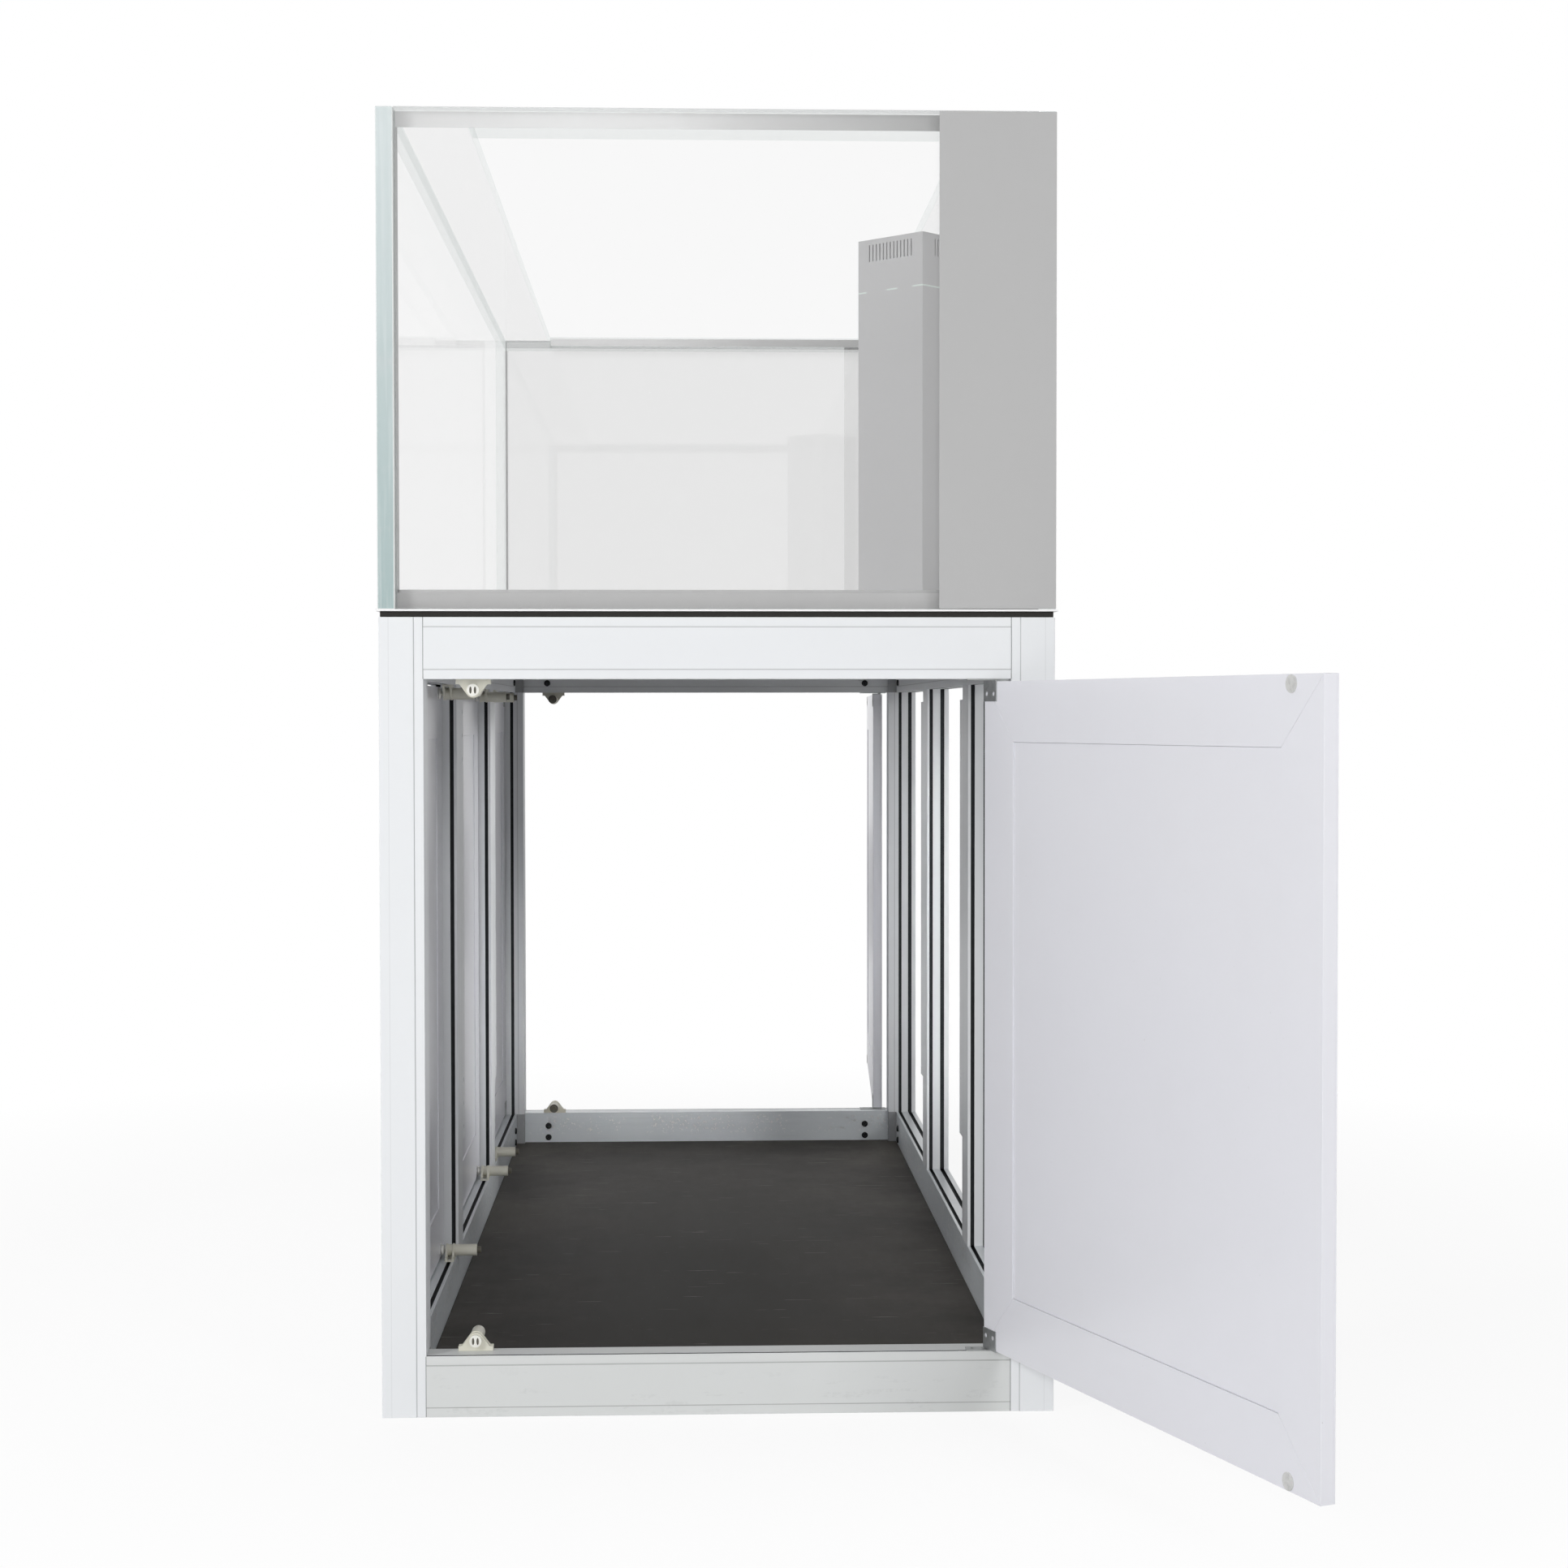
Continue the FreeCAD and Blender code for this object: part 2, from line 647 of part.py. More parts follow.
def bulkheads():
    """Drain and return fittings through the bottom pane: flange above, nut and tail below."""
    fittings = []
    floor = tank_bottom + glass
    for x, y in drain_spots():
        under = stand_height - top_board_thick
        tail = under - drain_nut_thick - drain_tail
        axes = Axes(Vector(x, y, 0), X, Y, Z)
        flange = axes.rod_w(0, 0, drain_flange_r, floor, floor + drain_flange_thick)
        body = axes.rod_w(0, 0, drain_body_r, tail, floor + 1)
        fitting = flange.fuse(body).removeSplitter()
        fittings.append(fitting.cut(axes.rod_w(0, 0, drain_bore_r, tail - 1, floor + drain_flange_thick + 1)))
        points = []
        for i in range(6):
            angle = math.radians(60 * i)
            points.append(Vector(x + drain_nut_r * math.cos(angle), y + drain_nut_r * math.sin(angle),
                                 under - drain_nut_thick))
        nut = Part.Face(Part.makePolygon(points + points[:1])).extrude(Z * drain_nut_thick)
        fittings.append(nut.cut(axes.rod_w(0, 0, drain_body_r + hole_clearance, tail, floor)))
    return fittings


def drilled(shape):
    """The sheet with a clearance hole for each drain fitting."""
    for x, y in drain_spots():
        hole = Axes(Vector(x, y, 0), X, Y, Z).rod_w(0, 0, drain_body_r + 1.0, 0, tank_top)
        shape = shape.cut(hole)
    return shape


def build_tank():
    half_w, half_l = tank_width / 2, tank_length / 2
    low, high = tank_bottom, tank_top
    inside_w, inside_l = half_w - glass, half_l - glass
    panes = {}
    panes["left_pane"] = polished(WORLD.block((-half_w, -inside_w), (-half_l, half_l), (low, high)))
    panes["right_pane"] = polished(WORLD.block((inside_w, half_w), (-half_l, half_l), (low, high)))
    panes["front_pane"] = polished(WORLD.block((-inside_w, inside_w), (-half_l, -inside_l), (low, high)))
    panes["back_pane"] = polished(WORLD.block((-inside_w, inside_w), (inside_l, half_l), (low, high)))
    bottom = WORLD.block((-inside_w, inside_w), (-inside_l, inside_l), (low, low + glass))
    panes["bottom_pane"] = drilled(bottom)
    z = (high - glass, high - edge_polish)
    left = WORLD.block((-inside_w, -half_w + brace_left), (-inside_l, inside_l), z)
    right = WORLD.block((half_w - brace_right, inside_w), (-inside_l, inside_l), z)
    middle = (-half_w + brace_left, half_w - brace_right)
    front = WORLD.block(middle, (-inside_l, -half_l + brace_end), z)
    back = WORLD.block(middle, (half_l - brace_end, inside_l), z)
    panes["rim_braces"] = [left, right, front, back]
    return panes


def base_sheet():
    half_w, half_l = tank_width / 2 + base_sheet_proud, tank_length / 2 + base_sheet_proud
    return drilled(WORLD.block((-half_w, half_w), (-half_l, half_l), (sheet_bottom, tank_bottom)))


def support_mat():
    half_w, half_l = half_width - mat_inset, half_length - mat_inset
    return drilled(WORLD.block((-half_w, half_w), (-half_l, half_l), (mat_bottom, sheet_bottom)))


# ---------------------------------------------------------------- build
def main():
    os.makedirs("parts", exist_ok=True)
    rails, rail_blocks, screws = build_rails()
    mullions, mullion_blocks = build_mullions()
    for group in (build_posts(), rails, mullions):
        for name, shape in group.items():
            save(name, shape)
    save("joint_blocks", rail_blocks + mullion_blocks)
    save("joint_screws", screws)
    save("floor_board", floor_board())
    save("top_board", drilled(board(stand_height - top_board_thick, top_board_thick)))
    save("cross_beams", cross_beams())
    save("mounting_strips", mounting_strips())
    plates, bodies, small_screws = [], [], []
    for door in all_doors():
        save(door.name + "_frame", door.frame())
        save(door.name + "_panel", door.panel())
        save(door.name + "_fittings", door.fittings())
        plates += door.pivot_plates()
        for place, axes in door.latch_axes().items():
            bodies.append(latch_body(axes))
            small_screws += latch_screws(axes)
            save("%s_%s_plunger" % (door.name, place), latch_plunger(axes))
        print(door.name, "pivot", door.pivot, "angle", round(door.angle, 1), "width", round(door.width, 1))
    save("pivot_plates", plates)
    save("latch_bodies", bodies)
    save("latch_screws", small_screws)
    save("support_mat", support_mat())
    save("base_sheet", base_sheet())
    for name, shape in build_tank().items():
        save(name, shape)
    save("overflow_tower", overflow_tower())
    save("drain_fittings", bulkheads())


main()
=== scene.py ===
"""Reef aquarium on a framed cabinet: looks, lights and camera, in metres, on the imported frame."""

import json
import math

import bmesh
import bpy
import numpy as np
from mathutils import Matrix, Vector

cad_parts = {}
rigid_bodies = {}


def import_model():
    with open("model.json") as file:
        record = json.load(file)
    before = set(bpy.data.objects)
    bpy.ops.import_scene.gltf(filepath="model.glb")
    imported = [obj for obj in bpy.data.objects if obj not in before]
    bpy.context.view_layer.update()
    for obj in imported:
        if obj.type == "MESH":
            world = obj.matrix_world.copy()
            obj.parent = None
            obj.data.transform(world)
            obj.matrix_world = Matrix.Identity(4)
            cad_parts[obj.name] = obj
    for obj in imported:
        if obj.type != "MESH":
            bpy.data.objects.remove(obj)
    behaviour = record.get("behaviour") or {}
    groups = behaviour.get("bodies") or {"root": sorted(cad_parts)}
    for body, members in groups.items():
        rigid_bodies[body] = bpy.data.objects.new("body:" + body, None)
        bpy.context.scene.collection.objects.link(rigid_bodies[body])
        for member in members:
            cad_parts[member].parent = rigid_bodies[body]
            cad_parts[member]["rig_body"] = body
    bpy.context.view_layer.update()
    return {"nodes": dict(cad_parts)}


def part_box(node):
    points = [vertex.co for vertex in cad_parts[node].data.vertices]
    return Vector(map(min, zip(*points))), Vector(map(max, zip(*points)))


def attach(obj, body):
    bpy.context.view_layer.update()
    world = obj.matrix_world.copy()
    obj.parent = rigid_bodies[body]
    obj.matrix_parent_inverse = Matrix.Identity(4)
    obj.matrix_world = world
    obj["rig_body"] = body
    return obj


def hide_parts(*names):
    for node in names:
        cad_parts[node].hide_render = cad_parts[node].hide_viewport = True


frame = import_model()

MM = 0.001
FIXED = "stand_and_tank"
FILL = 0.41  # strength of the surround as a light
EAST_SHADE = 0.4  # share of it that is missing from +X

# The cabinet, in millimetres: outer faces, middle height, members, and hinge axes as (X, Y).
HALF_WIDTH = 375
HALF_LENGTH = 900
MIDDLE_HEIGHT = 445
RAIL_HEIGHT = 68.5
POST_LENGTH = 49
MULLION_Y = 295
MULLION_HALF = 34
HINGES = {"front_door": (312, -895), "back_door": (312, 895), "side_door_1": (-370, -837),
          "side_door_2": (-370, -247), "side_door_3": (-370, 837)}


# ---------------------------------------------------------------- camera
def add_camera():
    """Camera before the front end, a little left of the middle, level with the doorway's top."""
    lens = bpy.data.cameras.new("camera")
    lens.lens = 59.5
    lens.sensor_width = 36.0
    lens.clip_start = 0.05
    lens.clip_end = 60.0
    camera = bpy.data.objects.new("camera", lens)
    bpy.context.scene.collection.objects.link(camera)
    camera.location = (-0.0353, -3.7774, 0.7817)
    turn_right, tip_down, roll = math.radians(2.15), math.radians(1.53), math.radians(-0.05)
    level = Matrix.Rotation(-turn_right, 3, "Z") @ Matrix.Rotation(math.pi / 2 - tip_down, 3, "X")
    camera.rotation_euler = (level @ Matrix.Rotation(roll, 3, "Z")).to_euler()
    bpy.context.scene.camera = camera


# ---------------------------------------------------------------- shader maths
class Field:
    """A shader socket. + - * / and ** on it add Math nodes; a number may come before + - and *."""

    def __init__(self, paint, socket):
        self.paint = paint
        self.socket = socket

    def math(self, operation, *values, clamp=False):
        settings = {"operation": operation, "use_clamp": clamp}
        return self.paint.node("ShaderNodeMath", settings, dict(enumerate(values)))

    def __add__(self, other):
        return self.math("ADD", self, other)

    def __sub__(self, other):
        return self.math("SUBTRACT", self, other)

    def __rsub__(self, other):
        return self.math("SUBTRACT", other, self)

    def __mul__(self, other):
        return self.math("MULTIPLY", self, other)

    def __truediv__(self, other):
        return self.math("DIVIDE", self, other)

    def __pow__(self, other):
        return self.math("POWER", self, other)

    __radd__ = __add__
    __rmul__ = __mul__

    def above(self, edge, soft):
        """0 below edge, 1 above edge + soft, straight between."""
        return self.math("DIVIDE", self - edge, soft, clamp=True)

    def within(self, low, high, soft):
        """1 between low and high, 0 outside, with soft sides."""
        return self.above(low - soft, soft) * (1.0 - self.above(high, soft))

    def size(self):
        return self.math("ABSOLUTE", self)


class Paint:
    """A material and the nodes in it. Patterns read Object coordinates, in metres."""

    def __init__(self, name):
        self.material = bpy.data.materials.new(name)
        self.material.use_nodes = True
        self.tree = self.material.node_tree
        self.tree.nodes.clear()
        self.place = self.node("ShaderNodeTexCoord", output="Object")

    def node(self, kind, settings=None, inputs=None, output=0):
        """Adds a node, sets its settings, then its sockets, and returns one of its outputs."""
        made = self.tree.nodes.new(kind)
        for name, value in (settings or {}).items():
            if name == "stops":
                self.set_stops(made.color_ramp, value)
            else:
                setattr(made, name, value)
        for name, value in (inputs or {}).items():
            if isinstance(value, Field):
                self.tree.links.new(value.socket, made.inputs[name])
            else:
                made.inputs[name].default_value = value
        return Field(self, made.outputs[output])

    @staticmethod
    def set_stops(ramp, stops):
        while len(ramp.elements) < len(stops):
            ramp.elements.new(0.5)
        for element, (place, colour) in zip(ramp.elements, stops):
            element.position = place
            element.color = (*colour, 1.0)

    def axis(self, letter):
        index = "XYZ".index(letter)
        return self.node("ShaderNodeSeparateXYZ", inputs={0: self.place}, output=index)

    def stretched(self, x, y, z):
        """Object coordinates scaled on each axis."""
        inputs = {"Vector": self.place, "Scale": (x, y, z)}
        return self.node("ShaderNodeMapping", inputs=inputs)

    def noise(self, scale, detail=3.0, rough=0.55, vector=None):
        inputs = {"Vector": vector or self.place, "Scale": scale, "Detail": detail,
                  "Roughness": rough}
        return self.node("ShaderNodeTexNoise", inputs=inputs)

    def mix(self, factor, first, second):
        """Colour between first and second."""
        inputs = {0: factor}
        for index, colour in ((6, first), (7, second)):
            inputs[index] = colour if isinstance(colour, Field) else (*colour, 1.0)
        return self.node("ShaderNodeMix", {"data_type": "RGBA"}, inputs, 2)

    def bump(self, height, strength, distance):
        inputs = {"Height": height, "Strength": strength, "Distance": distance}
        return self.node("ShaderNodeBump", inputs=inputs)

    def principled(self, **sockets):
        """A Principled shader, its sockets given by short names."""
        names = {"base": "Base Color", "rough": "Roughness", "metal": "Metallic",
                 "normal": "Normal", "specular": "Specular IOR Level", "ior": "IOR",
                 "coat": "Coat Weight", "coat_rough": "Coat Roughness"}
        inputs = {}
        for name, value in sockets.items():
            colour = name == "base" and not isinstance(value, Field)
            inputs[names[name]] = (*value, 1.0) if colour else value
        return self.node("ShaderNodeBsdfPrincipled", inputs=inputs)

    def thinned(self, solid, body, tint):
        """A shader that hides by the share body and lets the rest through, tinted."""
        clear = self.node("ShaderNodeBsdfTransparent", inputs={"Color": (*tint, 1.0)})
        return self.node("ShaderNodeMixShader", inputs={0: body, 1: clear, 2: solid})

    def shown(self, shader):
        """Puts a shader on the surface and returns the material."""
        made = self.tree.nodes.new("ShaderNodeOutputMaterial")
        self.tree.links.new(shader.socket, made.inputs["Surface"])
        return self.material


def srgb(red, green, blue):
    """Linear colour from the usual 0 to 255 screen values."""
    values = np.array((red, green, blue)) / 255.0
    linear = np.where(values <= 0.04045, values / 12.92, ((values + 0.055) / 1.055) ** 2.4)
    return tuple(float(v) for v in linear)


def grey(level):
    """Linear grey from its 0 to 255 screen value."""
    return srgb(level, level, level)


def shade(colour, share):
    """A linear colour times a share, or times a share for each channel."""
    return tuple(float(v) for v in np.array(colour) * share)


# ---------------------------------------------------------------- finishes
def painted_crease_shade(paint, kind):
    """Painted shade: dark hairlines where a member's edge strips step down, and where its end meets
    the next member.
    """
    def line(place, start, width=0.8, soft=0.4):
        """1 in a band that begins at start, all in millimetres."""
        return place.within(start * MM, (start + width) * MM, soft * MM)

    middle = MIDDLE_HEIGHT * MM
    off_middle = (paint.axis("Z") - middle).size()
    if kind == "rail":
        from_end = middle - off_middle
        return (line(from_end, 10.4) + line(from_end, 57.5)) * 0.55
    if kind == "mullion":
        off = (paint.axis("Y").size() - MULLION_Y * MM).size()
        return line(off, 23.0) * 0.5
    east, north = paint.axis("X").size(), paint.axis("Y").size()
    beside_rail = off_middle.above((MIDDLE_HEIGHT - RAIL_HEIGHT) * MM, 0.4 * MM)
    steps = line(east, 336.2) + line(east, 364.1, 0.5) * 0.3 + line(north, 861.2)
    joints = line(east, 325.5, 1.3, 0.2) + line(north, 850.5, 1.3, 0.2)
    return steps * 0.5 + joints * beside_rail


def powder_coat(name, colour, grime=0.0, kind=None):
    """White powder coat: fine orange peel, a slow drift of tone, grey smudges low down by the
    share grime, and painted shade as dark hairlines at the steps and joints of its kind of member."""
    paint = Paint(name)
    drift = paint.noise(2.3, 2.0)
    peel = paint.noise(620.0, 2.0)
    tone = paint.mix(drift, colour, shade(colour, 0.965))
    rough = 0.36 + peel * 0.08
    if grime:
        patch = paint.noise(46.0, 3.0, 0.6, paint.stretched(0.5, 1.0, 2.4)).above(0.60, 0.02)
        break_up = paint.noise(170.0, 2.0).above(0.40, 0.2)
        low = 1.0 - paint.axis("Z").above(0.030, 0.025)
        smudge = patch * break_up * (0.25 + low * 0.75)
        tone = paint.mix(smudge * grime, tone, shade(colour, 0.80))
        rough = rough + smudge * 0.15
    if kind:
        # Painted shade: the hairlines darken the coat where its steps and joints would be shaded.
        tone = paint.mix(painted_crease_shade(paint, kind), tone, shade(colour, 0.42))
    normal = paint.bump(peel, 0.08, 0.0003)
    return paint.shown(paint.principled(base=tone, rough=rough, normal=normal, specular=0.42))


def chipped_coat(name, colour):
    """The coat inside the cabinet, scuffed, and worn to bright metal in flecks along a low band."""
    paint = Paint(name)
    drift = paint.noise(4.0, 3.0)
    peel = paint.noise(620.0, 2.0)
    patches = paint.noise(13.0, 2.0).above(0.45, 0.05)
    flecks = paint.noise(170.0, 2.0, 0.6).above(0.58, 0.02)
    chips = patches * flecks * paint.axis("Z").within(0.036, 0.058, 0.008)
    scuffs = paint.noise(30.0, 4.0, 0.6, paint.stretched(0.25, 0.25, 3.0)).above(0.56, 0.10)
    tone = paint.mix(drift, colour, shade(colour, 0.95))
    tone = paint.mix(scuffs * 0.22, tone, shade(colour, 0.80))
    tone = paint.mix(chips, tone, (1.0, 1.0, 1.0))
    normal = paint.bump(peel - chips * 2.0, 0.12, 0.0004)
    return paint.shown(paint.principled(base=tone, metal=chips, rough=0.30 + scuffs * 0.12,
                                        normal=normal, coat=0.1, coat_rough=0.35))


def door_paint(name, colour):
    """Smooth door lacquer, drifting faintly between warmer and bluer."""
    paint = Paint(name)
    drift = paint.noise(1.9, 3.0)
    cloud = paint.noise(9.0, 4.0, 0.6)
    fine = paint.noise(480.0, 2.0)
    specks = paint.noise(260.0, 2.0, 0.6).above(0.775, 0.02)
    tone = paint.mix(drift, colour, shade(colour, (0.965, 0.97, 1.0)))
    tone = paint.mix(cloud.above(0.5, 0.3) * 0.10, tone, shade(colour, 0.85))
    tone = paint.mix(specks * 0.35, tone, srgb(165, 163, 160))
    normal = paint.bump(fine, 0.05, 0.0003)
    return paint.shown(paint.principled(base=tone, rough=0.26 + cloud * 0.12, normal=normal,
                                        coat=0.25, coat_rough=0.22))


def laminate(name):
    """Dark phenolic board: brown-black, satin, with a fine pebble, lighter cloudy patches towards
    the sides and the back that are a painted sheen, and hair scratches."""
    paint = Paint(name)
    cloud = paint.noise(3.2, 5.0, 0.6)
    grain = paint.noise(90.0, 4.0, 0.6, paint.stretched(1.0, 0.18, 1.0))
    pebble = paint.noise(700.0, 2.0)
    scratch = paint.noise(38.0, 2.0, 0.5, paint.stretched(0.35, 6.0, 1.0)).above(0.715, 0.012)
    dust_and_shade_mottle = paint.noise(330.0, 2.0, 0.6).above(0.755, 0.02)
    at_sides = paint.axis("X").size().above(0.06, 0.30)
    at_back = paint.axis("Y").above(0.0, 0.85)
    # Painted sheen: the lighter cloudy patches stand in for the satin board's reflection towards
    # the sides and the back.
    painted_sheen = (at_sides * 0.55 + at_back * 0.45) * (0.30 + cloud.above(0.42, 0.16) * 1.05)
    tone = paint.mix(cloud, srgb(33, 30, 26), srgb(46, 43, 39))
    tone = paint.mix(painted_sheen, tone, srgb(92, 88, 83))
    tone = paint.mix(grain * 0.35, tone, srgb(60, 56, 51))
    tone = paint.mix(scratch * 0.35 + dust_and_shade_mottle * 0.5, tone, srgb(160, 156, 150))
    rough = 0.50 + cloud * 0.10 + grain * 0.06
    normal = paint.bump(pebble + grain * 0.6, 0.12, 0.0004)
    return paint.shown(paint.principled(base=tone, rough=rough, normal=normal, ior=1.2))


def painted_groove_shade(name):
    """Inside of the grooves: a dark grey mottled by noise, painted shade for the depth of the
    grooves.
    """
    paint = Paint(name)
    dust_and_shade_mottle = paint.noise(140.0, 3.0)
    # Painted shade: the grooves' faces are dark grey, standing in for the shade inside them.
    tone = paint.mix(dust_and_shade_mottle, srgb(46, 48, 50), srgb(66, 68, 70))
    return paint.shown(paint.principled(base=tone, rough=0.7, specular=0.3))


def steel(name, colour, rough):
    """Zinc-plated steel with a fine one-way grain and dull spots."""
    paint = Paint(name)
    grain = paint.noise(700.0, 3.0, 0.6, paint.stretched(0.15, 0.15, 1.0))
    spots = paint.noise(160.0, 3.0)
    tone = paint.mix(spots.above(0.45, 0.2) * 0.5, colour, shade(colour, 0.72))
    normal = paint.bump(grain, 0.15, 0.0002)
    return paint.shown(paint.principled(base=tone, metal=0.85, rough=rough + spots * 0.15,
                                        normal=normal))


def black_oxide(name):
    """Blackened screw, rubbed bright in scattered spots."""
    paint = Paint(name)
    wear = paint.noise(900.0, 3.0, 0.65).above(0.60, 0.06)
    tone = paint.mix(wear * 0.55, srgb(24, 25, 27), srgb(170, 172, 174))
    return paint.shown(paint.principled(base=tone, metal=0.55, rough=0.32 + wear * 0.2))


def ivory_plastic(name, colour):
    """Moulded plastic gone slightly cream, with a matt moulding skin."""
    paint = Paint(name)
    age = paint.noise(70.0, 3.0)
    skin = paint.noise(1500.0, 2.0)
    tone = paint.mix(age, colour, shade(colour, (0.90, 0.88, 0.82)))
    normal = paint.bump(skin, 0.08, 0.0002)
    return paint.shown(paint.principled(base=tone, rough=0.38 + skin * 0.1, normal=normal))


def foam(name):
    """Closed-cell foam: near black, matt, pitted."""
    paint = Paint(name)
    cells = paint.noise(850.0, 3.0, 0.7)
    tone = paint.mix(cells, srgb(30, 29, 28), srgb(62, 60, 58))
    normal = paint.bump(cells, 0.5, 0.0006)
    return paint.shown(paint.principled(base=tone, rough=0.85, normal=normal, specular=0.3))


def white_sheet(name):
    """Foamed plastic sheet, white, matt."""
    paint = Paint(name)
    skin = paint.noise(500.0, 2.0)
    tone = paint.mix(skin, grey(253), grey(248))
    normal = paint.bump(skin, 0.1, 0.0003)
    return paint.shown(paint.principled(base=tone, rough=0.5, normal=normal))


def clear_glass(name, through, square_on=0.04, grazing=0.9, haze=0.0):
    """Pane seen square on: passes nearly all light, mirrors more towards grazing, faintly hazed."""
    paint = Paint(name)
    facing = paint.node("ShaderNodeLayerWeight", inputs={"Blend": 0.5}, output="Facing")
    mirror = square_on + grazing * facing ** 5.0
    gloss = paint.principled(base=(1.0, 1.0, 1.0), metal=1.0, rough=0.015)
    pane = paint.thinned(gloss, mirror, (through, through, through))
    if haze:
        film = haze * (0.6 + paint.noise(2.2, 3.0) * 0.8)
        milk = paint.principled(base=grey(250), rough=0.4)
        pane = paint.node("ShaderNodeMixShader", inputs={0: film, 1: pane, 2: milk})
    return paint.shown(pane)


def glass_edge(name, pale, deep, low, high, body=0.85):
    """Ground edge of thick glass: aqua that deepens downwards, with streaks and faint clouds."""
    paint = Paint(name)
    height = paint.axis("Z").above(low, high - low)
    streak = paint.noise(60.0, 4.0, 0.6, paint.stretched(3.0, 3.0, 0.10))
    cloud = paint.noise(16.0, 3.0, 0.6)
    tone = paint.mix(height, deep, pale)
    tone = paint.mix(streak.above(0.45, 0.25) * 0.22, tone, srgb(236, 240, 240))
    tone = paint.mix(cloud.above(0.58, 0.1) * 0.16, tone, srgb(214, 206, 210))
    solid = paint.principled(base=tone, rough=0.22, specular=0.6)
    return paint.shown(paint.thinned(solid, body, (0.97, 0.99, 0.985)))


def bond(name, tones, body=0.92):
    """Clear-grey adhesive between glass and glass. Tones are (X, grey level) pairs, X in metres
    from -reach to reach."""
    paint = Paint(name)
    reach = 0.4
    along = (paint.axis("X") + reach) / (2 * reach)
    stops = [((x + reach) / (2 * reach), grey(level)) for x, level in tones]
    tone = paint.node("ShaderNodeValToRGB", {"stops": stops}, {"Fac": along})
    patch = paint.noise(11.0, 3.0)
    tone = paint.mix(patch.above(0.5, 0.2) * 0.06, tone, grey(245))
    solid = paint.principled(base=tone, rough=0.3)
    return paint.shown(paint.thinned(solid, body, (0.97, 0.97, 0.97)))


def masking_film(name, colour, body=1.0):
    """Self-adhesive film, flat, matt, with the faint drag of a squeegee. Body is how far it
    hides what is behind."""
    paint = Paint(name)
    drag = paint.noise(8.0, 2.0, 0.5, paint.stretched(1.0, 1.0, 0.08))
    tone = paint.mix(drag * 0.4, colour, shade(colour, 0.97))
    solid = paint.principled(base=tone, rough=0.55, specular=0.3)
    return paint.shown(paint.thinned(solid, body, (1.0, 1.0, 1.0)))


def overflow_acrylic(name, colour, glint_height):
    """Grey overflow acrylic with a bright broken line where the comb meets the box: a painted
    glint.
    """
    paint = Paint(name)
    half = 0.8 * MM
    line = paint.axis("Z").within(glint_height - half, glint_height + half, half / 2)
    broken = paint.noise(26.0, 2.0).above(0.45, 0.05)
    cloud = paint.noise(4.0, 3.0)
    tone = paint.mix(cloud * 0.5, colour, shade(colour, 0.95))
    # Painted glint: a pale greenish broken line along the joint of comb and box.
    tone = paint.mix(line * broken * 0.85, tone, srgb(232, 243, 238))
    return paint.shown(paint.principled(base=tone, rough=0.3, specular=0.4))


def pipe_plastic(name):
    """Grey pipe plastic, satin."""
    paint = Paint(name)
    flow = paint.noise(40.0, 3.0)
    tone = paint.mix(flow, srgb(92, 95, 98), srgb(110, 112, 114))
    return paint.shown(paint.principled(base=tone, rough=0.4))


# ---------------------------------------------------------------- meshes
def mesh_piece(name, vertices, faces, body, *finishes):
    """A mesh object made from arrays, riding on a body."""
    mesh = bpy.data.meshes.new(name)
    mesh.from_pydata(vertices.tolist(), [], [list(f) for f in faces])
    shell = bmesh.new()
    shell.from_mesh(mesh)
    bmesh.ops.recalc_face_normals(shell, faces=shell.faces)
    shell.to_mesh(mesh)
    shell.free()
    for finish in finishes:
        mesh.materials.append(finish)
    piece = bpy.data.objects.new(name, mesh)
    bpy.context.scene.collection.objects.link(piece)
    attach(piece, body)
    return piece


FRONT_FACE, GROUND_FACE = -1, 3  # kinds of a plate's faces, beside its axes 0, 1 and 2


def plate_arrays(low, high, flat):
    """Vertices, faces and kinds of face of a box with ground edges.

    Each corner gives three points, one on each face that meets there, drawn in by flat along the
    other two axes. Faces join the points of one axis, edges those of two, corners all three.
    """
    signs = np.array([(x, y, z) for x in (-1, 1) for y in (-1, 1) for z in (-1, 1)], float)
    middle, half = (np.array(low) + high) / 2, (np.array(high) - low) / 2
    drawn_in = half - flat
    corner = signs[:, None, :] * (drawn_in + flat * np.eye(3)[None, :, :])
    vertices = (middle + corner).reshape(-1, 3)
    index = {tuple(s): 3 * i for i, s in enumerate(signs.astype(int))}

    def first_point(axis, side, others, pair):
        """Number of the first of the three points at a corner."""
        key = [0, 0, 0]
        key[axis], key[others[0]], key[others[1]] = side, *pair
        return index[tuple(key)]

    around = ((-1, -1), (1, -1), (1, 1), (-1, 1))
    faces, kinds = [], []
    for axis in range(3):
        others = [a for a in range(3) if a != axis]
        for side in (-1, 1):
            faces.append([first_point(axis, side, others, pair) + axis for pair in around])
            kinds.append(FRONT_FACE if axis == 1 and side == -1 else axis)
        for pair in around:
            start, end = (first_point(axis, side, others, pair) for side in (-1, 1))
            one, two = others
            faces.append([start + one, end + one, end + two, start + two])
            kinds.append(GROUND_FACE)
    for start in index.values():
        faces.append([start, start + 1, start + 2])
        kinds.append(GROUND_FACE)
    return vertices, faces, kinds


